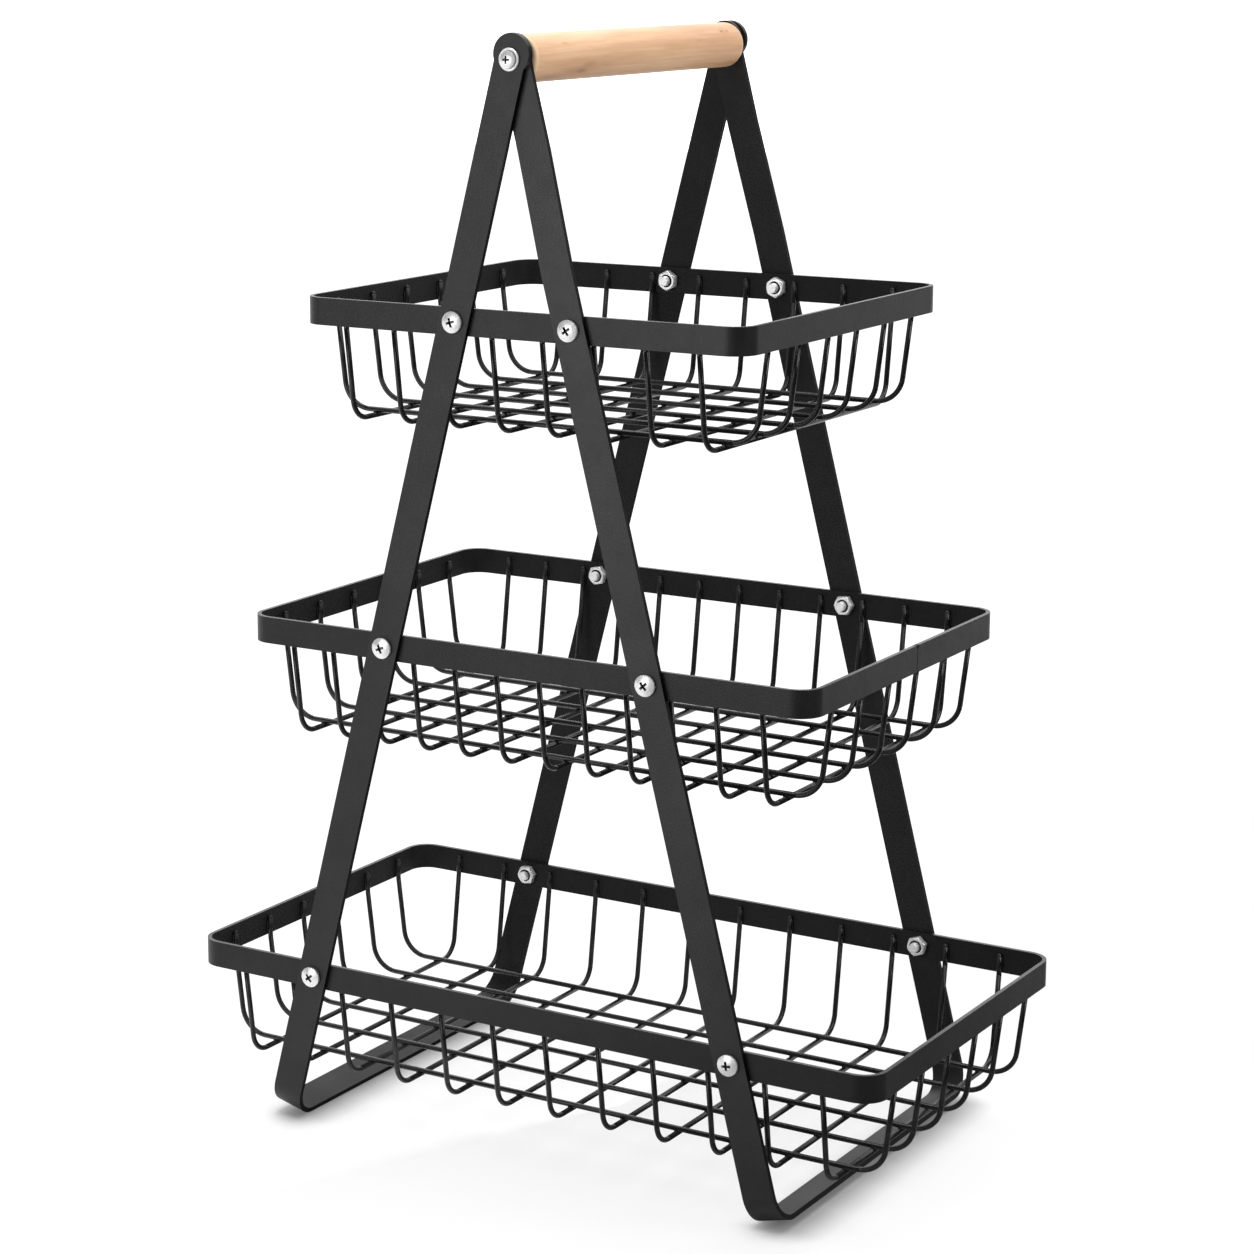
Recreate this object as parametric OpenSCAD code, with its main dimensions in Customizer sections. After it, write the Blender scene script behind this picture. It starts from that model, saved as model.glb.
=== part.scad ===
// Kitchen basket rack: two bent flat-bar frames leaned together under a wooden handle,
// with three wire baskets bolted between their legs.
// Millimetres. +Z is up, X runs along the baskets, -Y is the front.
// The floor is z = 0 and the handle lies over the origin.

/* [Frames] */
// Width of the flat bar
bar_w = 16; // [12:0.5:25]
// Thickness of the flat bar
bar_t = 2.5; // [2:0.1:4]
// Lean of each frame from upright, degrees
lean = 14.5; // [13:0.1:17]
// Handle pivot to the underside of the foot, along the bar
leg_len = 540.5; // [500:0.5:640]
// Depth over the outer faces of the legs
frame_depth = 207; // [160:0.5:300]
// Outer bend radius where a leg turns into its foot
foot_r = 10; // [6:0.5:20]
// Bar beyond the pivot, to the centre of its rounded end
head_over = 5.5; // [0:0.5:12]
// Gap between the two frames where they cross
frame_gap = 0.3; // [0.1:0.05:1]
// Length of the bend over which the inner frame's legs step in
set_run = 56; // [40:1:60]

/* [Handle] */
// Diameter of the dowel
handle_d = 22; // [18:0.5:32]
// Rounding of the dowel's end edges
handle_edge = 1.5; // [0.5:0.1:3]
// Gap between each dowel end and the inner bar
handle_gap = 0.3; // [0.1:0.05:1]
// Diameter of the handle screws
pivot_d = 6; // [5:0.5:8]
// Radial running clearance of the handle screws in the bars
pivot_clear = 0.08; // [0.02:0.01:0.1]
// Head diameter of the handle screws
pivot_head_d = 10.5; // [9:0.5:15]
// Head height of the handle screws
pivot_head_h = 3.4; // [2.5:0.1:5]
// Flange thickness under the handle screws' heads
pivot_flange = 1; // [0.6:0.1:1.5]
// Gap between the handle screw head and the outer bar
pivot_head_gap = 0.2; // [0.1:0.05:0.5]
// How far a handle screw goes into the dowel
pivot_depth = 32; // [20:1:50]
// How far the wood thread bites into the dowel
thread_bite = 0.02; // [0:0.01:0.05]

/* [Baskets] */
// Height of the rim band
rim_h = 13; // [10:0.5:20]
// Thickness of the rim band
rim_t = 2; // [1.5:0.1:3]
// Outer corner radius of the rim band
rim_r = 12; // [8:0.5:30]
// Screw line to the underside of a basket
basket_drop = 53; // [40:1:60]
// Length of the top basket
top_len = 238; // [200:0.5:280]
// Top basket's screws below the handle pivot
top_drop = 119.5; // [118:1:140]
// Length of the middle basket
mid_len = 306.5; // [260:0.5:350]
// Share of the way from the bottom screws up to the top ones
mid_share = 0.52; // [0.4:0.001:0.6]
// Length of the bottom basket
low_len = 376; // [320:0.5:440]
// Height of the bottom basket's screws
low_z = 77; // [70:1:110]

/* [Wires] */
// Wire diameter
wire_d = 2.6; // [2:0.1:4]
// How far a wire sinks into what it is welded to
weld = 0.02; // [0:0.01:0.05]
// Height of the wire ends above the screw line
wire_top = 2.4; // [0:0.1:5]
// Lengthwise wires in each basket
long_n = 6; // [4:1:9]
// Rim front or back to the outer lengthwise wires
long_edge = 27; // [20:1:45]
// Cross wires in the top basket
top_cross_n = 8; // [5:1:12]
// Rim end to the outer cross wires of the top basket
top_cross_edge = 24.5; // [16:0.5:30]
// Cross wires in the middle basket
mid_cross_n = 12; // [6:1:16]
// Rim end to the outer cross wires of the middle basket
mid_cross_edge = 25.5; // [16:0.5:30]
// Cross wires in the bottom basket
low_cross_n = 12; // [6:1:16]
// Rim end to the outer cross wires of the bottom basket
low_cross_edge = 27.5; // [16:0.5:36]
// Least gap between a cross wire and a nut or bolt end
bolt_room = 1; // [0.2:0.1:3]
// Lean of the basket ends, degrees
end_lean = 7; // [2:1:25]
// Lean of the basket front and back, degrees
side_lean = 8; // [2:1:20]
// Bend radius at the basket ends, to the wire centre
end_bend = 14; // [8:1:25]
// Bend radius at the basket front and back, to the wire centre
side_bend = 11; // [6:1:20]
// Bend radius just under the rim, to the wire centre
knee_bend = 8; // [4:1:20]

/* [Basket screws] */
// Screw diameter
screw_d = 5; // [4:0.5:6]
// Diameter of the screw holes in the bars and rims
screw_hole = 5.4; // [4.2:0.1:7]
// Head diameter
head_d = 10; // [8:0.5:12]
// Head height
head_h = 3; // [2:0.1:4]
// Nut width across flats
nut_af = 9; // [7:0.5:12]
// Nut thickness
nut_t = 4; // [2.5:0.1:6]
// Gap between the nut's bore and the screw
nut_clear = 0.05; // [0.02:0.01:0.1]
// Screw length that stands out of the nut
screw_over = 2.6; // [1:0.1:6]
// Thread pitch on the part that stands out
pitch = 0.8; // [0.5:0.1:1.25]

/* [Hidden] */
$fn = 64;
far = 2 * leg_len;                 // cutter length, longer than the rack
half_depth = frame_depth / 2;
pivot_z = leg_len * cos(lean) + bar_w / 2 * sin(lean);
set_in = bar_t + frame_gap;        // inward set of the inner frame's legs
set_top = bar_w / 2 / sin(lean) + 8;  // fully set in above here, below the pivot
set_low = set_top + set_run;       // and not set in below here
top_z = pivot_z - top_drop;
mid_z = low_z + mid_share * (top_z - low_z);
rim_half = half_depth - bar_t;
handle_half = half_depth - 2 * bar_t - frame_gap - handle_gap;
wire_r = wire_d / 2;
wire_seat = rim_t + wire_r - weld; // rim outer face to the wire centre
cross_z = wire_r - basket_drop;    // centre of the cross wires' floor run
long_z = cross_z + wire_d - weld;  // lengthwise wires lie on them
knee_z = -rim_h / 2;               // wires run straight up along the band from here
nut_corner = nut_af / 2 / cos(30); // nut's centre to a corner
slim = 0.02;                       // bends are this much thinner than straight runs,
over = 0.1;                        // which reach this far into them for a clean join

black = [0.13, 0.13, 0.14];
wire_black = [0.09, 0.09, 0.1];
bright = [0.82, 0.82, 0.84];
beech = [0.85, 0.69, 0.5];

// Half the distance between a basket's left and right screws at height z.
function screw_x(z) = (pivot_z - z) * tan(lean);

// Quarter ring of the bar seen from the side, bent round the origin below and to the right.
module foot_corner() {
    intersection() {
        difference() {
            circle(r = foot_r);
            circle(r = foot_r - bar_t);
        }
        translate([0, -foot_r]) square([foot_r, foot_r]);
    }
}

// Right half of a frame seen from the side: leg, bend and half of the foot.
// The leg's outer face steps in by dx between the two set heights.
module bar_path(dx) {
    y0 = leg_len - set_low;
    y1 = leg_len - set_top;
    y2 = leg_len + head_over + bar_w;
    out = half_depth;
    polygon([[out, foot_r], [out, y0], [out - dx, y1], [out - dx, y2],
        [out - dx - bar_t, y2], [out - dx - bar_t, y1], [out - bar_t, y0], [out - bar_t, foot_r]]);
    translate([out - foot_r, foot_r]) foot_corner();
    square([out - foot_r, bar_t]);
}

// One frame upright, its foot on z = 0 and its bar centred on x = 0.
module upright_frame(dx) {
    intersection() {
        rotate([90, 0, 90])
            linear_extrude(bar_w, center = true) {
                bar_path(dx);
                mirror([1, 0]) bar_path(dx);
            }
        // front outline: straight edges and a rounded end
        rotate([90, 0, 0])
            linear_extrude(far, center = true) {
                translate([-bar_w / 2, 0]) square([bar_w, leg_len + head_over]);
                translate([0, leg_len + head_over]) circle(d = bar_w);
            }
    }
}

// A hole through the rack from front to back at (x, z).
module through_hole(x, z, d) {
    translate([x, 0, z]) rotate([90, 0, 0]) cylinder(d = d, h = far, center = true);
}

// side is -1 for the left frame and 1 for the right one.
module frame(side, dx) {
    color(black)
        difference() {
            translate([0, 0, pivot_z]) rotate([0, -side * lean, 0])
                translate([0, 0, -leg_len]) upright_frame(dx);
            through_hole(0, pivot_z, pivot_d + 2 * pivot_clear);
            for (z = [top_z, mid_z, low_z]) through_hole(side * screw_x(z), z, screw_hole);
        }
}

module left_frame() {
    frame(-1, 0);
}

module right_frame() {
    frame(1, set_in);
}

// Pan head standing on z = 0 with a cross recess: upright edge, rounded shoulder, low crown.
module pan_head(d, h) {
    shoulder = 0.35 * h;
    crown_r = d;
    difference() {
        rotate_extrude()
            intersection() {
                union() {
                    square([d / 2, h - shoulder]);
                    square([d / 2 - shoulder, h]);
                    translate([d / 2 - shoulder, h - shoulder]) circle(r = shoulder);
                }
                translate([0, h - crown_r]) circle(r = crown_r, $fn = 128);
            }
        intersection() {
            translate([0, 0, h / 3]) linear_extrude(h) {
                square([0.5 * d, 0.12 * d], center = true);
                square([0.12 * d, 0.5 * d], center = true);
            }
            translate([0, 0, h / 3]) cylinder(r1 = 0.1 * d, r2 = 0.27 * d, h = 0.7 * h);
        }
    }
}

// Head of a handle screw: a flange with a smaller pan head on it.
module flange_head() {
    rotate_extrude()
        polygon([[0, 0], [pivot_head_d / 2, 0], [pivot_head_d / 2, 0.6 * pivot_flange],
            [pivot_head_d / 2 - 0.4 * pivot_flange, pivot_flange], [0, pivot_flange]]);
    translate([0, 0, pivot_flange]) pan_head(0.75 * pivot_head_d, pivot_head_h - pivot_flange);
}

// Threaded end of diameter d that grows up from z = 0, with a chamfered tip.
module thread_end(d, len, pitch) {
    n = floor(len / pitch);
    root = d / 2 - 0.54 * pitch;
    ridges = [for (i = [0 : n - 1]) each [[root, i * pitch + 0.1 * pitch],
        [d / 2, i * pitch + 0.5 * pitch], [root, i * pitch + 0.9 * pitch]]];
    rotate_extrude() polygon(concat([[0, 0], [root, 0]], ridges, [[root, len], [0, len]]));
}

// Basket screw: head outside on z = 0, shank down through bar, rim and nut.
module basket_screw(turn) {
    grip = bar_t + rim_t + nut_t;
    color(bright) {
        rotate(turn) pan_head(head_d, head_h);
        translate([0, 0, -grip]) cylinder(d = screw_d, h = grip);
        translate([0, 0, -grip]) mirror([0, 0, 1]) thread_end(screw_d, screw_over, pitch);
    }
}

// Hexagon nut standing on z = 0 with its corners chamfered on the outer side.
module hex_nut() {
    color(bright)
        difference() {
            intersection() {
                cylinder(r = nut_corner, h = nut_t, $fn = 6);
                union() {
                    cylinder(r = nut_corner + 0.5, h = nut_t - 0.8);
                    translate([0, 0, nut_t - 0.8])
                        cylinder(r1 = nut_corner + 0.1, r2 = nut_af / 2 - 0.3, h = 0.8);
                }
            }
            translate([0, 0, -1]) cylinder(d = screw_d + 2 * nut_clear, h = nut_t + 2);
            // countersink round the bolt
            translate([0, 0, nut_t - 0.7]) cylinder(d1 = screw_d, d2 = screw_d + 2, h = 1);
        }
}

// Places children at bolt i of a basket, z pointing outwards from the plane |y| = y.
// Bolts 0 and 1 are front left and right, 2 and 3 back left and right.
module at_bolt(i, z, y) {
    back = i > 1;
    side = i % 2 == 0 ? -1 : 1;
    translate([side * screw_x(z), back ? y : -y, z]) rotate([back ? -90 : 90, 0, 0]) children();
}

// turns: how far each screw was driven round, in degrees.
module screws(z, turns) {
    for (i = [0 : 3]) at_bolt(i, z, half_depth) basket_screw(turns[i]);
}

// turns: 0 puts a nut's corner at the top.
module nuts(z, turns) {
    for (i = [0 : 3])
        at_bolt(i, z, rim_half - rim_t) mirror([0, 0, 1]) rotate(90 + turns[i]) hex_nut();
}

// Rounded rectangle of half sizes a and b.
module rounded_rect(a, b, r) {
    square([2 * a, 2 * (b - r)], center = true);
    square([2 * (a - r), 2 * b], center = true);
    for (sx = [-1, 1], sy = [-1, 1]) translate([sx * (a - r), sy * (b - r)]) circle(r = r);
}

module rim(len, z) {
    color(black)
        difference() {
            translate([0, 0, z - rim_h / 2])
                linear_extrude(rim_h)
                    difference() {
                        rounded_rect(len / 2, rim_half, rim_r);
                        rounded_rect(len / 2 - rim_t, rim_half - rim_t, rim_r - rim_t);
                    }
            for (sx = [-1, 1]) through_hole(sx * screw_x(z), z, screw_hole);
        }
}

// Straight wire along +X from the origin, reaching a little past both ends.
module run(len) {
    translate([-over, 0, 0]) rotate([0, 90, 0]) cylinder(d = wire_d, h = len + 2 * over, $fn = 32);
}

// Wire that leaves the origin along +X and turns left by turn degrees, in the XY plane.
module bend(r, turn) {
    translate([0, r, 0]) rotate(-90)
        rotate_extrude(angle = turn, $fn = 128) translate([r, 0]) circle(d = wire_d - slim, $fn = 32);
}

// Places children where such a bend ends.
module after_bend(r, turn) {
    translate([r * sin(turn), r * (1 - cos(turn)), 0]) rotate(turn) children();
}

// One wire from rim to rim in the XZ plane: half is the distance from the middle to its
// upright ends, floor_z the height of its floor run, and its walls lean by tilt degrees.
module basket_wire(half, floor_z, r, tilt) {
    turn = 90 - tilt;
    wall = (knee_z - floor_z - r * (1 - cos(turn)) - knee_bend * cos(turn)) / sin(turn);
    flat = half - r * sin(turn) - wall * cos(turn) - knee_bend * (1 - sin(turn));
    color(wire_black)
        translate([0, 0, floor_z]) rotate([90, 0, 0]) {
            translate([-flat, 0, 0]) run(2 * flat);
            for (side = [0, 1]) mirror([side, 0, 0])
                translate([flat, 0, 0]) {
                    bend(r, turn);
                    after_bend(r, turn) {
                        run(wall);
                        translate([wall, 0, 0]) {
                            bend(knee_bend, tilt);
                            after_bend(knee_bend, tilt) run(wire_top - knee_z - over);
                        }
                    }
                }
        }
}

// Wires that run along the basket, spread over its depth.
module long_wires(len, z) {
    span = 2 * (rim_half - long_edge);
    for (i = [0 : long_n - 1])
        translate([0, span * (i / (long_n - 1) - 0.5), z])
            basket_wire(len / 2 - wire_seat, long_z, end_bend, end_lean);
}

// Where a cross wire meant for x goes: as close to x as the bolts at +-bolt_x let it.
function clear_of_bolts(x, bolt_x) =
    let (side = x < 0 ? -1 : 1, away = x - side * bolt_x, least = nut_corner + wire_r + bolt_room)
    abs(away) < least ? side * bolt_x + (away < 0 ? -least : least) : x;

// Wires that run from front to back, spread over the basket's length.
module cross_wires(n, edge, len, z) {
    span = len - 2 * edge;
    for (i = [0 : n - 1])
        translate([clear_of_bolts(span * (i / (n - 1) - 0.5), screw_x(z)), 0, z])
            rotate(90) basket_wire(rim_half - wire_seat, cross_z, side_bend, side_lean);
}

module top_rim() { rim(top_len, top_z); }
module top_long_wires() { long_wires(top_len, top_z); }
module top_cross_wires() { cross_wires(top_cross_n, top_cross_edge, top_len, top_z); }
module top_screws() { screws(top_z, [16, 34, 60, 5]); }
module top_nuts() { nuts(top_z, [4, 21, 3, 355]); }
module middle_rim() { rim(mid_len, mid_z); }
module middle_long_wires() { long_wires(mid_len, mid_z); }
module middle_cross_wires() { cross_wires(mid_cross_n, mid_cross_edge, mid_len, mid_z); }
module middle_screws() { screws(mid_z, [22, 42, 75, 30]); }
module middle_nuts() { nuts(mid_z, [12, 40, 18, 27]); }
module bottom_rim() { rim(low_len, low_z); }
module bottom_long_wires() { long_wires(low_len, low_z); }
module bottom_cross_wires() { cross_wires(low_cross_n, low_cross_edge, low_len, low_z); }
module bottom_screws() { screws(low_z, [38, 8, 50, 20]); }
module bottom_nuts() { nuts(low_z, [8, 33, 24, 12]); }

// Handle screw along +Z: head outside, shank through both bars, thread in the dowel.
module handle_screw_solid() {
    reach = pivot_head_gap + 2 * bar_t + frame_gap + handle_gap;
    color(bright) {
        flange_head();
        translate([0, 0, -reach]) cylinder(d = pivot_d, h = reach);
        translate([0, 0, -reach]) mirror([0, 0, 1]) wood_thread();
    }
}

// Wood thread: ridges on a core, then a point.
module wood_thread() {
    core = 0.34 * pivot_d;
    step = 2.4;
    n = floor((pivot_depth - pivot_d) / step);
    crest = pivot_d / 2 + thread_bite;
    ridges = [for (i = [0 : n - 1]) each [[core, (i + 0.2) * step], [crest, (i + 0.6) * step],
        [core, (i + 0.8) * step]]];
    rotate_extrude()
        polygon(concat([[0, 0], [core, 0]], ridges, [[core, n * step], [0, pivot_depth]]));
}

module handle() {
    half = handle_half;
    color(beech)
        translate([0, 0, pivot_z]) rotate([90, 0, 0])
            difference() {
                rotate_extrude()
                    union() {
                        translate([0, -half]) square([handle_d / 2 - handle_edge, 2 * half]);
                        translate([0, handle_edge - half])
                            square([handle_d / 2, 2 * (half - handle_edge)]);
                        for (s = [-1, 1])
                            translate([handle_d / 2 - handle_edge, s * (half - handle_edge)])
                                circle(r = handle_edge);
                    }
                for (s = [0, 1]) mirror([0, 0, s])
                    translate([0, 0, half - pivot_depth - 1]) cylinder(d = pivot_d, h = pivot_depth + 2);
            }
}

module handle_screw_front() {
    translate([0, -half_depth - pivot_head_gap, pivot_z]) rotate([90, 0, 0]) handle_screw_solid();
}

module handle_screw_back() {
    translate([0, half_depth + pivot_head_gap, pivot_z]) rotate([-90, 0, 0]) handle_screw_solid();
}

left_frame();
right_frame();
handle();
handle_screw_front();
handle_screw_back();
top_rim();
top_long_wires();
top_cross_wires();
top_screws();
top_nuts();
middle_rim();
middle_long_wires();
middle_cross_wires();
middle_screws();
middle_nuts();
bottom_rim();
bottom_long_wires();
bottom_cross_wires();
bottom_screws();
bottom_nuts();
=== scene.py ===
"""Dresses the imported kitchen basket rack: paint, wood and plated steel, weld beads, light and camera."""

import math

import bmesh
import bpy
from mathutils import Matrix, Vector

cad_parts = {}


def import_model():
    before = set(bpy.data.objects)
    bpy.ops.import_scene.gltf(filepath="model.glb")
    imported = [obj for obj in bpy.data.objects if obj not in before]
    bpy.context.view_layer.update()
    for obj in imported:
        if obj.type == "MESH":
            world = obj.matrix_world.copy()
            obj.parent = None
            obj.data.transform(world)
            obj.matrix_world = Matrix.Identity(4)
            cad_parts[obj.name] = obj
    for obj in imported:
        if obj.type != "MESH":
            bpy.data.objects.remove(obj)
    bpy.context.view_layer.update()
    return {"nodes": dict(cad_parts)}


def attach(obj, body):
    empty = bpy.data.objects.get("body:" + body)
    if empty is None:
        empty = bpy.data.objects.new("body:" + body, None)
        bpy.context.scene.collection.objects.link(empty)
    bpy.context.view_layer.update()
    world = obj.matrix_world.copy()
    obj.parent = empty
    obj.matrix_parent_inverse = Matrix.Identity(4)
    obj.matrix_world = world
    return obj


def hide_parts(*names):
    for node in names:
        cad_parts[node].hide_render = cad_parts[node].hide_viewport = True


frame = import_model()
nodes = frame["nodes"]
scene = bpy.context.scene

# Sizes that part.scad also has, in metres.
LEAN = math.radians(14.5)
PIVOT_Z = 0.52529
HALF_DEPTH = 0.1035
BAR_T = 0.0025
BAR_W = 0.016
LEG_LEN = 0.5405
SET_IN = 0.0028
SET_TOP = BAR_W / 2 / math.sin(LEAN) + 0.008
SET_LOW = SET_TOP + 0.056
PIVOT_HOLE = 0.00308
SCREW_HOLE = 0.0027
HANDLE_END = 0.0979
RIM_T = 0.002
WIRE_R = 0.0013
BASKETS = {
    "top": {"z": 0.40579, "len": 0.238, "cross": 8, "edge": 0.0245},
    "middle": {"z": 0.24797, "len": 0.3065, "cross": 12, "edge": 0.0255},
    "bottom": {"z": 0.077, "len": 0.376, "cross": 12, "edge": 0.0275},
}
LONG_N = 6
LONG_EDGE = 0.027
RIM_HALF = HALF_DEPTH - BAR_T
CROSS_Z = -0.0517   # wire centres, from the screw line
LONG_Z = -0.04912
WIRE_TOP = 0.0024
FOOT_X = LEG_LEN * math.sin(LEAN)
WIRE_IN = RIM_T + WIRE_R - 0.00002
# The frames' bars are made here, with a rounder foot bend and a wider eye at the top than the solids have.
FOOT_R = 0.015
EYE_R = 0.0094
EYE_OVER = 0.0025


# Materials.

def new_material(name):
    """A Principled material: (material, node list, link function, shader, object coordinates)."""
    m = bpy.data.materials.new(name)
    m.use_nodes = True
    n, l = m.node_tree.nodes, m.node_tree.links
    shader = n["Principled BSDF"]
    coords = n.new("ShaderNodeTexCoord").outputs["Object"]
    return m, n, lambda a, b: l.new(a, b), shader, coords


def noise(n, link, coords, scale, detail=4.0, rough=0.55, stretch=(1, 1, 1)):
    """A noise texture's value at that scale per metre."""
    mapping = n.new("ShaderNodeMapping")
    mapping.inputs["Scale"].default_value = stretch
    link(coords, mapping.inputs["Vector"])
    tex = n.new("ShaderNodeTexNoise")
    tex.inputs["Scale"].default_value = scale
    tex.inputs["Detail"].default_value = detail
    tex.inputs["Roughness"].default_value = rough
    link(mapping.outputs["Vector"], tex.inputs["Vector"])
    return tex.outputs["Fac"]


def ramp(n, link, value, stops):
    """A colour ramp over value; stops are (position, (r, g, b))."""
    r = n.new("ShaderNodeValToRGB")
    e = r.color_ramp.elements
    while len(e) < len(stops):
        e.new(0.5)
    for el, (pos, rgb) in zip(e, stops):
        el.position = pos
        el.color = (*rgb, 1)
    link(value, r.inputs["Fac"])
    return r.outputs["Color"]


def mapped(n, link, value, lo, hi, from_lo=0, from_hi=1, smooth=False):
    """value from from_lo..from_hi to lo..hi, with soft ends if smooth."""
    m = n.new("ShaderNodeMapRange")
    if smooth:
        m.interpolation_type = "SMOOTHSTEP"
    m.inputs["From Min"].default_value = from_lo
    m.inputs["From Max"].default_value = from_hi
    m.inputs["To Min"].default_value = lo
    m.inputs["To Max"].default_value = hi
    link(value, m.inputs["Value"])
    return m.outputs["Result"]


def bump(n, link, height, strength, distance, normal=None):
    """A normal bumped by height, over an earlier normal if given."""
    b = n.new("ShaderNodeBump")
    b.inputs["Strength"].default_value = strength
    b.inputs["Distance"].default_value = distance
    link(height, b.inputs["Height"])
    if normal is not None:
        link(normal, b.inputs["Normal"])
    return b.outputs["Normal"]


def band(n, link, value, middle, half):
    """1 where value is within half of middle."""
    off = math_node(n, link, "ABSOLUTE", math_node(n, link, "SUBTRACT", value, middle))
    return math_node(n, link, "LESS_THAN", off, half)


def powder_coat(name, dark, light, rough_lo, rough_hi, specular, seam=False):
    """Black powder coat with orange peel and a slight mottle, rougher on inward faces; painted shade darkens
    inward faces and, except on the rims, side faces, and low upward faces get a painted highlight with some
    dust.
    """
    m, n, link, shader, coords = new_material(name)
    normal = n.new("ShaderNodeTexCoord").outputs["Normal"]
    facing = vector_value(n, link, "DOT_PRODUCT", vector_node(n, link, "MULTIPLY", coords, (1, 1, 0)), normal)
    inner = mapped(n, link, facing, 1, 0, -0.02, -0.005)
    mottle = noise(n, link, coords, 45, 5)
    coat = ramp(n, link, mottle, [(0.3, dark), (0.72, light)])
    # painted shade: faces turned inward are painted darker
    painted_inner_shade = math_node(n, link, "MULTIPLY", inner, 0.6)
    coat = tinted(n, link, painted_inner_shade, coat, (0.004, 0.004, 0.0042))
    x, y, z = axes(n, link, coords)
    if seam:
        # butt seam of the middle rim, at its right end, a little open at the top
        height = math_node(n, link, "SUBTRACT", z, BASKETS["middle"]["z"])
        open_top = mapped(n, link, height, 0.0004, 0.0019, 0.0043, 0.0065)
        line = band(n, link, y, 0.0086, open_top)
        line = math_node(n, link, "MULTIPLY", line, band(n, link, x, 0.153, 0.004))
        line = math_node(n, link, "MULTIPLY", line, band(n, link, height, 0, 0.03))
        coat = tinted(n, link, line, coat, (0.0015, 0.0015, 0.0015))
        inner = math_node(n, link, "MAXIMUM", inner, line)
    else:
        # dust on the upper side of the feet
        # painted highlight, with some dust: upward faces below 3 cm, on the feet and on the bottom basket's
        # floor wires, are painted lighter
        sideways, _, upward = axes(n, link, normal)
        dust_and_highlight = mapped(n, link, upward, 0, 0.5, 0.85, 0.95)
        dust_and_highlight = math_node(n, link, "MULTIPLY", dust_and_highlight, math_node(n, link, "LESS_THAN", z, 0.03))
        coat = tinted(n, link, dust_and_highlight, coat, (0.10, 0.10, 0.105))
        # painted shade: faces turned sideways, with normals along X, are painted darker and given little shine
        edge = mapped(n, link, math_node(n, link, "ABSOLUTE", sideways), 0, 1, 0.90, 0.95)
        coat = tinted(n, link, edge, coat, (0.002, 0.002, 0.002))
        link(mapped(n, link, edge, specular, 0.12), shader.inputs["Specular IOR Level"])
    link(coat, shader.inputs["Base Color"])
    patch = noise(n, link, coords, 110, 6, 0.65)
    rough = mapped(n, link, patch, rough_lo, rough_hi)
    link(math_node(n, link, "MULTIPLY_ADD", inner, 0.30, rough), shader.inputs["Roughness"])
    peel = bump(n, link, noise(n, link, coords, 900, 2), 0.3, 0.0003)
    grit = bump(n, link, noise(n, link, coords, 3600, 1), 0.25, 0.0001, peel)
    link(grit, shader.inputs["Normal"])
    if seam:
        shader.inputs["Specular IOR Level"].default_value = specular
    return m


def math_node(n, link, kind, a, b=None, c=None):
    """A Math node's value; each input is a socket or a number."""
    m = n.new("ShaderNodeMath")
    m.operation = kind
    for k, v in enumerate((a, b, c)):
        if isinstance(v, (int, float)):
            m.inputs[k].default_value = v
        elif v is not None:
            link(v, m.inputs[k])
    return m.outputs[0]


def vector_node(n, link, kind, a, b=(0, 0, 0)):
    """A Vector Math node's vector, from a socket and a constant vector."""
    m = n.new("ShaderNodeVectorMath")
    m.operation = kind
    link(a, m.inputs[0])
    m.inputs[1].default_value = b
    return m.outputs[0]


def vector_value(n, link, kind, a, b=None):
    """A Vector Math node's single value, for a dot product or a length."""
    m = n.new("ShaderNodeVectorMath")
    m.operation = kind
    link(a, m.inputs[0])
    if isinstance(b, tuple):
        m.inputs[1].default_value = b
    elif b is not None:
        link(b, m.inputs[1])
    return m.outputs["Value"]


def axes(n, link, vector):
    """The vector's x, y and z."""
    m = n.new("ShaderNodeSeparateXYZ")
    link(vector, m.inputs[0])
    return m.outputs


def tinted(n, link, mask, colour, tint):
    """colour mixed with tint where mask is 1."""
    mix = n.new("ShaderNodeMixRGB")
    link(mask, mix.inputs["Fac"])
    link(colour, mix.inputs["Color1"])
    mix.inputs["Color2"].default_value = (*tint, 1)
    return mix.outputs["Color"]


def near(n, link, coords, place, radius, stretch):
    """1 at place, 0 from radius on; the spot is that many times longer along Y than across."""
    offset = vector_node(n, link, "SUBTRACT", coords, place)
    away = vector_value(n, link, "LENGTH", vector_node(n, link, "MULTIPLY", offset, (1, 1 / stretch, 1)))
    return mapped(n, link, away, 1, 0, 0, radius, smooth=True)


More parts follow.
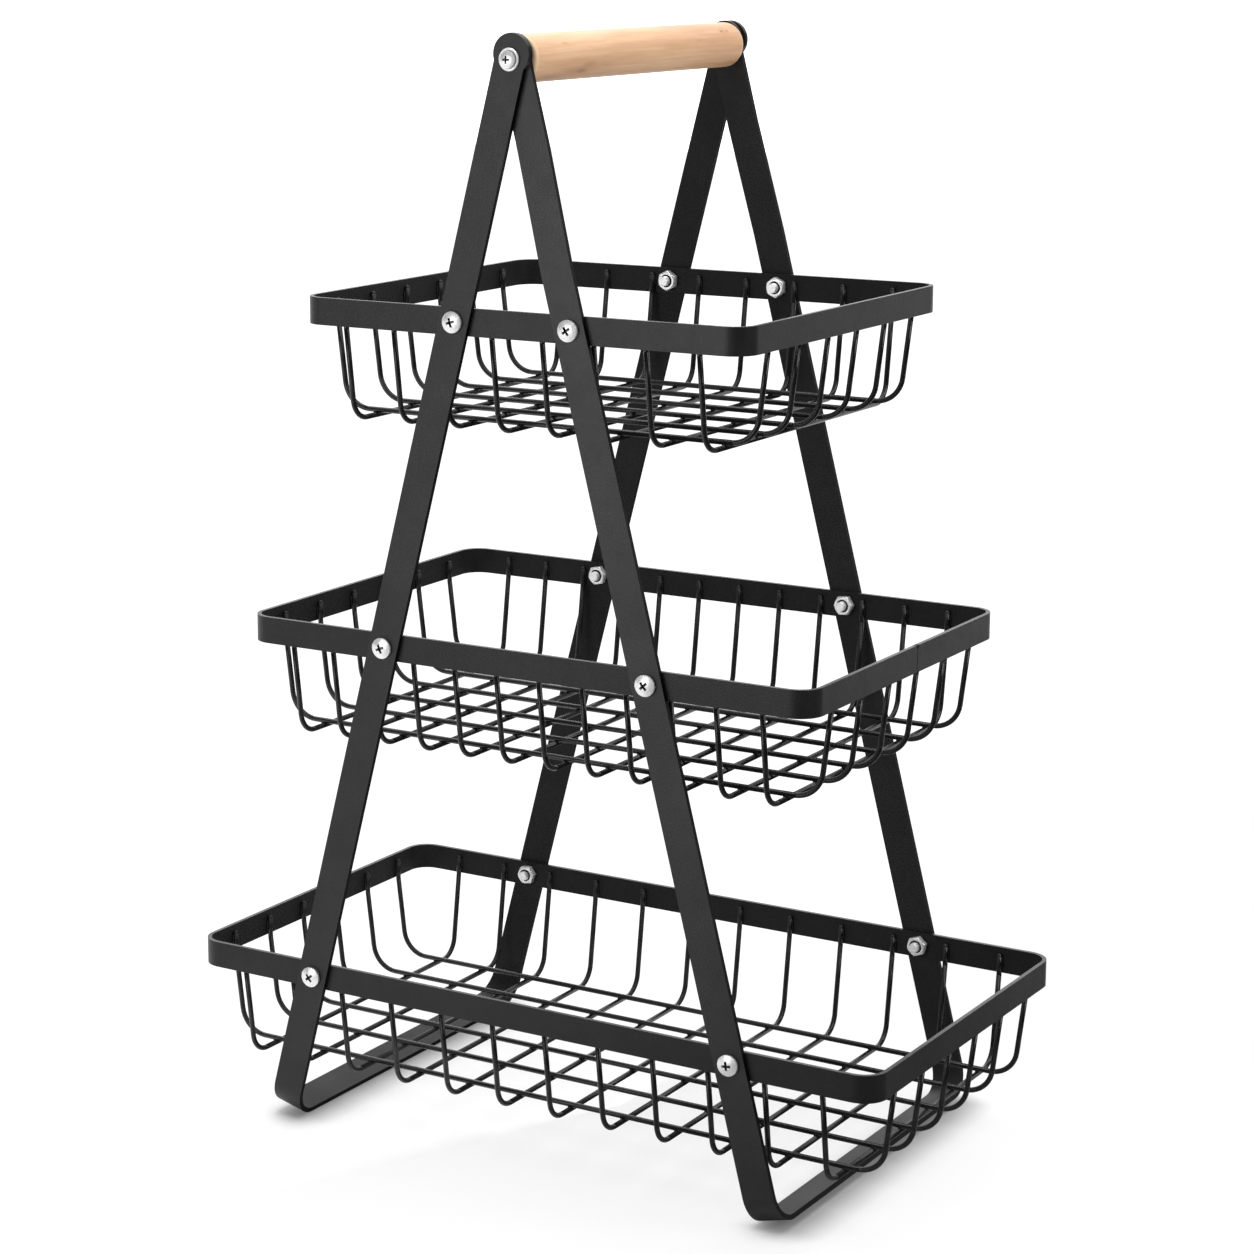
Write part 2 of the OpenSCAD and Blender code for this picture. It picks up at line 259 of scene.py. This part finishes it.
def beech():
    """Sanded beech turned along Y: growth rings cut lengthwise, ray flecks, small knots and a darker streak."""
    m, n, link, shader, coords = new_material("beech")
    tone = noise(n, link, coords, 60, 4, 0.55, (1, 0.14, 1))
    grain = noise(n, link, coords, 520, 5, 0.6, (1, 0.035, 1))
    shade = math_node(n, link, "MULTIPLY_ADD", grain, 0.35, math_node(n, link, "MULTIPLY", tone, 0.65))
    colour = ramp(n, link, shade, [(0.38, (0.530, 0.295, 0.160)), (0.5, (0.632, 0.380, 0.215)),
                                   (0.62, (0.705, 0.455, 0.275))])
    # growth rings round a centre well below the dowel, bent by slow noise
    offset = vector_node(n, link, "SUBTRACT", coords, (-0.016, 0.01, PIVOT_Z - 0.03))
    rings = vector_value(n, link, "LENGTH", vector_node(n, link, "MULTIPLY", offset, (1, 0.085, 1)))
    wobble = noise(n, link, coords, 70, 3, 0.5, (1, 0.3, 1))
    phase = math_node(n, link, "MULTIPLY_ADD", rings, 3100, math_node(n, link, "MULTIPLY", wobble, 15))
    wave = math_node(n, link, "MULTIPLY_ADD", math_node(n, link, "SINE", phase), 0.5, 0.5)
    lines = ramp(n, link, wave, [(0.60, (0, 0, 0)), (0.97, (1, 1, 1))])
    lines = math_node(n, link, "MULTIPLY", lines, math_node(n, link, "MULTIPLY", tone, 0.42))
    colour = tinted(n, link, lines, colour, (0.54, 0.285, 0.135))
    # short dark flecks that run with the grain
    flecks = noise(n, link, coords, 1150, 2, 0.5, (1, 0.07, 1))
    fleck_mask = ramp(n, link, flecks, [(0.66, (0, 0, 0)), (0.76, (1, 1, 1))])
    colour = tinted(n, link, math_node(n, link, "MULTIPLY", fleck_mask, 0.4), colour, (0.52, 0.30, 0.165))
    # marks: place on the dowel, radius across the grain, length along it, strength, colour
    for place, radius, stretch, strength, tint in WOOD_MARKS:
        spot = near(n, link, coords, (place[0], place[1], PIVOT_Z + place[2]), radius, stretch)
        broken = math_node(n, link, "MULTIPLY", spot, math_node(n, link, "MULTIPLY_ADD", grain, 1.6, -0.1))
        colour = tinted(n, link, math_node(n, link, "MULTIPLY", broken, strength), colour, tint)
    # painted highlight: a paler band round each end, where the rounded edge catches the light
    along = math_node(n, link, "ABSOLUTE", axes(n, link, coords)[1])
    rim = mapped(n, link, along, 0, 0.6, HANDLE_END - 0.0022, HANDLE_END - 0.0012)
    colour = tinted(n, link, rim, colour, (0.78, 0.58, 0.38))
    link(colour, shader.inputs["Base Color"])
    link(mapped(n, link, grain, 0.40, 0.56), shader.inputs["Roughness"])
    pores = bump(n, link, grain, 0.2, 0.00025)
    link(bump(n, link, flecks, 0.15, 0.0001, pores), shader.inputs["Normal"])
    shader.inputs["Specular IOR Level"].default_value = 0.50
    return m


def plated(name, rough_lo, rough_hi, metallic):
    """Bright zinc plate: nearly white, with faint spangle, and painted shade from an occlusion mask in the
    recess and under the head.
    """
    m, n, link, shader, coords = new_material(name)
    spangle = noise(n, link, coords, 1300, 3)
    bright = ramp(n, link, spangle, [(0.3, (0.80, 0.80, 0.81)), (0.7, (0.93, 0.93, 0.93))])
    # painted shade: an occlusion mask darkens the recess and the ring under the head
    corner = n.new("ShaderNodeAmbientOcclusion")
    corner.samples = 8
    corner.inputs["Distance"].default_value = 0.0025
    painted_recess_shade = mapped(n, link, corner.outputs["AO"], 1, 0, 0.5, 0.86)
    link(tinted(n, link, painted_recess_shade, bright, (0.012, 0.012, 0.013)), shader.inputs["Base Color"])
    link(mapped(n, link, spangle, rough_lo, rough_hi), shader.inputs["Roughness"])
    link(bump(n, link, noise(n, link, coords, 2600, 2), 0.12, 0.00008), shader.inputs["Normal"])
    shader.inputs["Metallic"].default_value = metallic
    return m


KNOT = (0.20, 0.075, 0.03)
STREAK = (0.36, 0.165, 0.075)
WOOD_MARKS = (
    ((0.0083, 0.0788, 0.0072), 0.0011, 2.0, 1.0, KNOT),
    ((0.0082, 0.0846, 0.0073), 0.0008, 2.6, 0.8, KNOT),
    ((0.0084, 0.0815, 0.0074), 0.0030, 2.4, 0.45, STREAK),
    ((0.0089, -0.0557, -0.0065), 0.0021, 3.0, 0.8, KNOT),
    ((0.0103, -0.0507, -0.0038), 0.0024, 4.0, 0.5, STREAK),
    ((0.0088, -0.0600, -0.0066), 0.0042, 5.0, 0.55, STREAK),
    ((0.0066, -0.0798, -0.0088), 0.0036, 5.0, 0.75, STREAK),
    ((0.0090, -0.0707, 0.0063), 0.0012, 4.0, 0.5, STREAK),
    ((0.0103, 0.0535, 0.0038), 0.0014, 4.5, 0.45, STREAK),
    ((-0.0095, 0.0220, 0.0050), 0.0016, 3.0, 0.8, KNOT),
)
FRAME_PAINT = powder_coat("frame_powder_coat", (0.009, 0.009, 0.0098), (0.018, 0.018, 0.0190), 0.38, 0.52, 0.42)
# painted shade: a darker, less shiny copy of the frame's powder coat for the left frame, which gets less light
LEFT_SHADED_PAINT = powder_coat("left_shaded_powder_coat", (0.008, 0.008, 0.0088), (0.016, 0.016, 0.0169), 0.38, 0.52, 0.36)
RIM_PAINT = powder_coat("rim_powder_coat", (0.008, 0.008, 0.0085), (0.014, 0.014, 0.0147), 0.32, 0.46, 0.29,
                        seam=True)
WIRE_PAINT = powder_coat("wire_coat", (0.004, 0.004, 0.0043), (0.007, 0.007, 0.0073), 0.22, 0.32, 0.40)
WOOD = beech()
SCREW_METAL = plated("plated_screw", 0.30, 0.42, 0.60)
NUT_METAL = plated("plated_nut", 0.26, 0.38, 0.70)


def round_edges(o, bevel, angle=32):
    """Small rounded edges that catch the light."""
    weld = o.modifiers.new("weld", "WELD")
    weld.merge_threshold = 0.000002
    if bevel:
        # flat faces become one polygon each, so that the bevel has clean edges to follow
        flat = o.modifiers.new("flat", "DECIMATE")
        flat.decimate_type = "DISSOLVE"
        flat.angle_limit = math.radians(0.6)
        b = o.modifiers.new("edge", "BEVEL")
        b.width = bevel
        b.segments = 3
        b.limit_method = "ANGLE"
        b.angle_limit = math.radians(angle)
        w = o.modifiers.new("normals", "WEIGHTED_NORMAL")
        w.keep_sharp = False
        w.weight = 100


def dress(node, material, bevel=0.0, angle=32):
    """Gives a CAD node its material and, if asked, rounded edges."""
    o = nodes[node]
    o.data.materials.clear()
    o.data.materials.append(material)
    round_edges(o, bevel, angle)
    for p in o.data.polygons:
        p.use_smooth = True


dress("handle", WOOD)
for name in ("handle_screw_front", "handle_screw_back"):
    dress(name, SCREW_METAL, 0.00012, 40)
for name in BASKETS:
    dress(name + "_rim", RIM_PAINT, 0.00035)
    dress(name + "_long_wires", WIRE_PAINT)
    dress(name + "_cross_wires", WIRE_PAINT)
    dress(name + "_screws", SCREW_METAL, 0.00012, 40)
    dress(name + "_nuts", NUT_METAL, 0.00015, 30)


# Pieces that the solids leave out, and the frames' bars.

def piece(name, mesh_builder, material, body="rack"):
    """A mesh piece made by mesh_builder(bm), in metres in the row frame."""
    bm = bmesh.new()
    mesh_builder(bm)
    me = bpy.data.meshes.new(name)
    bm.to_mesh(me)
    bm.free()
    for p in me.polygons:
        p.use_smooth = True
    o = bpy.data.objects.new(name, me)
    scene.collection.objects.link(o)
    me.materials.append(material)
    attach(o, body)
    return o


BALL = [(math.cos(a) * math.cos(e), math.sin(a) * math.cos(e), math.sin(e))
        for e in (math.radians(d) for d in (-60, -30, 0, 30, 60))
        for a in (math.tau * k / 10 for k in range(10))]


def blob(bm, at, half):
    """A squashed ball with those half sizes."""
    vs = [bm.verts.new([at[k] + half[k] * v[k] for k in range(3)]) for v in BALL]
    low = bm.verts.new((at[0], at[1], at[2] - half[2]))
    top = bm.verts.new((at[0], at[1], at[2] + half[2]))
    for i in range(10):
        j = (i + 1) % 10
        for row in range(0, 40, 10):
            bm.faces.new((vs[row + i], vs[row + j], vs[row + 10 + j], vs[row + 10 + i]))
        bm.faces.new((low, vs[j], vs[i]))
        bm.faces.new((top, vs[40 + i], vs[40 + j]))


def cross_xs(b):
    """The cross wires' places along the basket."""
    half = b["len"] / 2 - b["edge"]
    return [half * (2 * i / (b["cross"] - 1) - 1) for i in range(b["cross"])]


def long_ys():
    """The lengthwise wires' places across the basket."""
    half = RIM_HALF - LONG_EDGE
    return [half * (2 * i / (LONG_N - 1) - 1) for i in range(LONG_N)]


def welds(b):
    """Beads where wires cross and where they meet the rim, and the wires' rounded ends."""
    def build(bm):
        z = b["z"]
        for x in cross_xs(b):
            for y in long_ys():
                if abs(x) < b["len"] / 2 - 0.0208:
                    blob(bm, (x, y, z + (CROSS_Z + LONG_Z) / 2), (0.00125, 0.00125, 0.0009))
            for s in (-1, 1):
                y = s * (RIM_HALF - WIRE_IN)
                blob(bm, (x, y, z + WIRE_TOP), (WIRE_R, WIRE_R, 0.0012))
                for side in (-1, 1):
                    blob(bm, (x + side * 0.0009, y + s * 0.00085, z - 0.0022), (0.0009, 0.0006, 0.0036))
        for y in long_ys():
            for s in (-1, 1):
                x = s * (b["len"] / 2 - WIRE_IN)
                blob(bm, (x, y, z + WIRE_TOP), (WIRE_R, WIRE_R, 0.0012))
                for side in (-1, 1):
                    blob(bm, (x + s * 0.00085, y + side * 0.0009, z - 0.0022), (0.0006, 0.0009, 0.0036))
    return build


for name, b in BASKETS.items():
    piece(name + "_welds", welds(b), WIRE_PAINT)


def leg_stations(dx):
    """The bar from the top of the front leg to its foot: outer and inner (y, z), and half the width there."""
    eye_z = LEG_LEN + EYE_OVER
    top, low = math.radians(87), -math.acos(BAR_W / 2 / EYE_R)
    rows = []
    for k in range(21):
        a = top + (low - top) * k / 20
        rows.append((eye_z + EYE_R * math.sin(a), EYE_R * math.cos(a)))
    rows += [(LEG_LEN - SET_TOP, BAR_W / 2), (LEG_LEN - SET_LOW, BAR_W / 2), (FOOT_R, BAR_W / 2)]
    out = []
    for z, half in rows:
        share = min(max((z - LEG_LEN + SET_LOW) / (SET_LOW - SET_TOP), 0), 1)
        y = -HALF_DEPTH + dx * share
        out.append(((y, z), (y + BAR_T, z), half))
    mid = FOOT_R - HALF_DEPTH
    for k in range(1, 17):
        a = math.pi / 2 * k / 16
        ring = [(mid - r * math.cos(a), FOOT_R - r * math.sin(a)) for r in (FOOT_R, FOOT_R - BAR_T)]
        out.append((*ring, BAR_W / 2))
    return out


def drilled(bm, holes):
    """Cuts a round hole along Y at each (x, z, radius)."""
    solid, cutter = bpy.data.meshes.new("solid"), bpy.data.meshes.new("cutter")
    bm.to_mesh(solid)
    drill = bmesh.new()
    for x, z, r in holes:
        at = Matrix.Translation((x, 0, z)) @ Matrix.Rotation(math.pi / 2, 4, "X")
        bmesh.ops.create_cone(drill, cap_ends=True, segments=48, radius1=r, radius2=r, depth=0.3, matrix=at)
    drill.to_mesh(cutter)
    drill.free()
    a, b = bpy.data.objects.new("solid", solid), bpy.data.objects.new("cutter", cutter)
    for o in (a, b):
        scene.collection.objects.link(o)
    cut = a.modifiers.new("holes", "BOOLEAN")
    cut.operation = "DIFFERENCE"
    cut.object = b
    graph = bpy.context.evaluated_depsgraph_get()
    done = bpy.data.meshes.new_from_object(a.evaluated_get(graph))
    bm.clear()
    bm.from_mesh(done)
    for o in (a, b):
        bpy.data.objects.remove(o)
    for me in (solid, cutter, done):
        bpy.data.meshes.remove(me)


def frame_bar(side, dx):
    """One frame: a flat bar bent to a U, a round eye at the top of each leg; side is -1 for the left."""
    def build(bm):
        front = leg_stations(dx)
        back = [((-o[0], o[1]), (-i[0], i[1]), w) for o, i, w in reversed(front)]
        lean = Matrix.Translation((0, 0, PIVOT_Z)) @ Matrix.Rotation(-side * LEAN, 4, "Y")
        rings = []
        for outer, inner, w in front + back:
            corners = ((-w, *outer), (w, *outer), (w, *inner), (-w, *inner))
            rings.append([bm.verts.new(lean @ Vector((x, y, z - LEG_LEN))) for x, y, z in corners])
        for r, q in zip(rings, rings[1:]):
            for k in range(4):
                bm.faces.new((r[k], r[(k + 1) % 4], q[(k + 1) % 4], q[k]))
        bm.faces.new(rings[0])
        bm.faces.new(rings[-1])
        bmesh.ops.recalc_face_normals(bm, faces=bm.faces)
        holes = [(side * (PIVOT_Z - b["z"]) * math.tan(LEAN), b["z"], SCREW_HOLE) for b in BASKETS.values()]
        drilled(bm, [(0, PIVOT_Z, PIVOT_HOLE)] + holes)
    return build


for name, side, dx, paint in (("left_frame", -1, 0, LEFT_SHADED_PAINT), ("right_frame", 1, SET_IN, FRAME_PAINT)):
    bar = piece(name + "_bar", frame_bar(side, dx), paint)
    round_edges(bar, 0.00045)
    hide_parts(name)


# Floor, light and camera.

def floor():
    """A pale floor that fades to white away from the rack, with a painted shadow line beside the feet."""
    m, n, link, shader, coords = new_material("floor")
    shader.inputs["Roughness"].default_value = 0.6
    shader.inputs["Specular IOR Level"].default_value = 0.2
    path = n.new("ShaderNodeLightPath").outputs
    length = vector_value(n, link, "LENGTH", coords)
    fade = mapped(n, link, length, 0.62, 1, 0.10, 0.40, smooth=True)
    # distance to the feet, a little to their right
    x, y, _ = axes(n, link, coords)
    across = math_node(n, link, "ABSOLUTE", math_node(n, link, "SUBTRACT", x, 0.007))
    across = math_node(n, link, "SUBTRACT", across, FOOT_X)
    past = math_node(n, link, "SUBTRACT", math_node(n, link, "ABSOLUTE", y), HALF_DEPTH - 0.012)
    past = math_node(n, link, "MAXIMUM", past, 0)
    squares = math_node(n, link, "MULTIPLY", past, past)
    gap = math_node(n, link, "SQRT", math_node(n, link, "MULTIPLY_ADD", across, across, squares))
    # painted shadow: the floor's colour darkens within about 2 cm to the right of the feet
    base = ramp(n, link, gap, [(0.004, (0.36, 0.36, 0.36)), (0.019, (0.80, 0.80, 0.80))])
    link(base, shader.inputs["Base Color"])
    tight = mapped(n, link, gap, 0.15, 1, 0.006, 0.030, smooth=True)
    faded = math_node(n, link, "MULTIPLY", fade, tight)
    # what the paint mirrors: white at the front left, a dark studio at the front right and close by
    way = vector_node(n, link, "NORMALIZE", coords)
    side = vector_value(n, link, "DOT_PRODUCT", way, (0.966, -0.259, 0))
    dark_side = mapped(n, link, side, 1, 0.05, -0.3, 0.72)
    far = mapped(n, link, length, 1.15, 1.2, 0.3, 1.6)
    mirrored = math_node(n, link, "MULTIPLY", dark_side, far)
    glow = n.new("ShaderNodeEmission")
    glow.inputs["Color"].default_value = (1, 1, 1, 1)
    link(math_node(n, link, "MAXIMUM", mirrored, path["Is Camera Ray"]), glow.inputs["Strength"])
    seen = math_node(n, link, "MAXIMUM", path["Is Camera Ray"], path["Is Glossy Ray"])
    mix = n.new("ShaderNodeMixShader")
    link(math_node(n, link, "MULTIPLY", seen, faded), mix.inputs["Fac"])
    link(shader.outputs["BSDF"], mix.inputs[1])
    link(glow.outputs["Emission"], mix.inputs[2])
    link(mix.outputs["Shader"], n["Material Output"].inputs["Surface"])
    bm = bmesh.new()
    bmesh.ops.create_grid(bm, x_segments=8, y_segments=8, size=6)
    me = bpy.data.meshes.new("floor")
    bm.to_mesh(me)
    bm.free()
    me.materials.append(m)
    o = bpy.data.objects.new("floor", me)
    scene.collection.objects.link(o)


def world():
    """White to the camera; to all else a dim room with a white backdrop low behind the rack."""
    w = bpy.data.worlds.new("studio")
    scene.world = w
    w.use_nodes = True
    n, l = w.node_tree.nodes, w.node_tree.links
    link = lambda a, b: l.new(a, b)
    bg = n["Background"]
    bg.inputs["Color"].default_value = (1, 1, 1, 1)
    path = n.new("ShaderNodeLightPath").outputs
    seen = math_node(n, link, "MAXIMUM", path["Is Camera Ray"], path["Is Transmission Ray"])
    coords = n.new("ShaderNodeTexCoord").outputs["Generated"]
    behind = vector_value(n, link, "DOT_PRODUCT", coords, (-0.53, 0.82, 0.21))
    backdrop = mapped(n, link, behind, 0.10, 2.0, 0.35, 0.95)
    link(math_node(n, link, "MAXIMUM", backdrop, seen), bg.inputs["Strength"])


def lamp(name, at, aim, size, power):
    """A rectangular lamp at a point, turned to aim; size in metres, power in watts."""
    data = bpy.data.lights.new(name, "AREA")
    data.shape = "RECTANGLE"
    data.size, data.size_y = size
    data.energy = power
    o = bpy.data.objects.new(name, data)
    scene.collection.objects.link(o)
    o.location = at
    o.rotation_mode = "QUATERNION"
    o.rotation_quaternion = (Vector(aim) - Vector(at)).to_track_quat("-Z", "Y")


def camera():
    """The photograph's camera, fitted to screws, rim ends and feet; f, cx, cy and side in its pixels."""
    az, el, roll = (math.radians(v) for v in (32.689, 10.988, -0.228))
    f, cx, cy, side = 3160.54, 480.0, 540.0, 1254.0
    back = Vector((math.sin(az) * math.cos(el), -math.cos(az) * math.cos(el), math.sin(el)))
    right = Vector((math.cos(az), math.sin(az), 0))
    up = back.cross(right)
    c, s = math.cos(roll), math.sin(roll)
    right, up = c * right + s * up, c * up - s * right
    cam = bpy.data.cameras.new("photo_camera")
    cam.sensor_fit = "HORIZONTAL"
    cam.sensor_width = 36
    cam.lens = f * 36 / side
    cam.shift_x = (side / 2 - cx) / side
    cam.shift_y = (cy - side / 2) / side
    cam.clip_start, cam.clip_end = 0.05, 50
    o = bpy.data.objects.new("photo_camera", cam)
    scene.collection.objects.link(o)
    at = Vector((-0.083068, 0, 0.281779)) + back * 1.583052
    turn = Matrix((right, up, back)).transposed()
    o.matrix_world = Matrix.Translation(at) @ turn.to_4x4()
    scene.camera = o


floor()
world()
lamp("key", (-0.25, -1.0, 0.45), (0, 0, 0.20), (0.65, 0.65), 3.8)
lamp("fill", (1.5, 0.15, 1.2), (0, 0, 0.4), (0.9, 0.9), 15)
lamp("top", (0.1, 0.1, 1.9), (0, 0, 0.2), (1.7, 1.4), 30)
camera()
scene.view_settings.view_transform = "Standard"
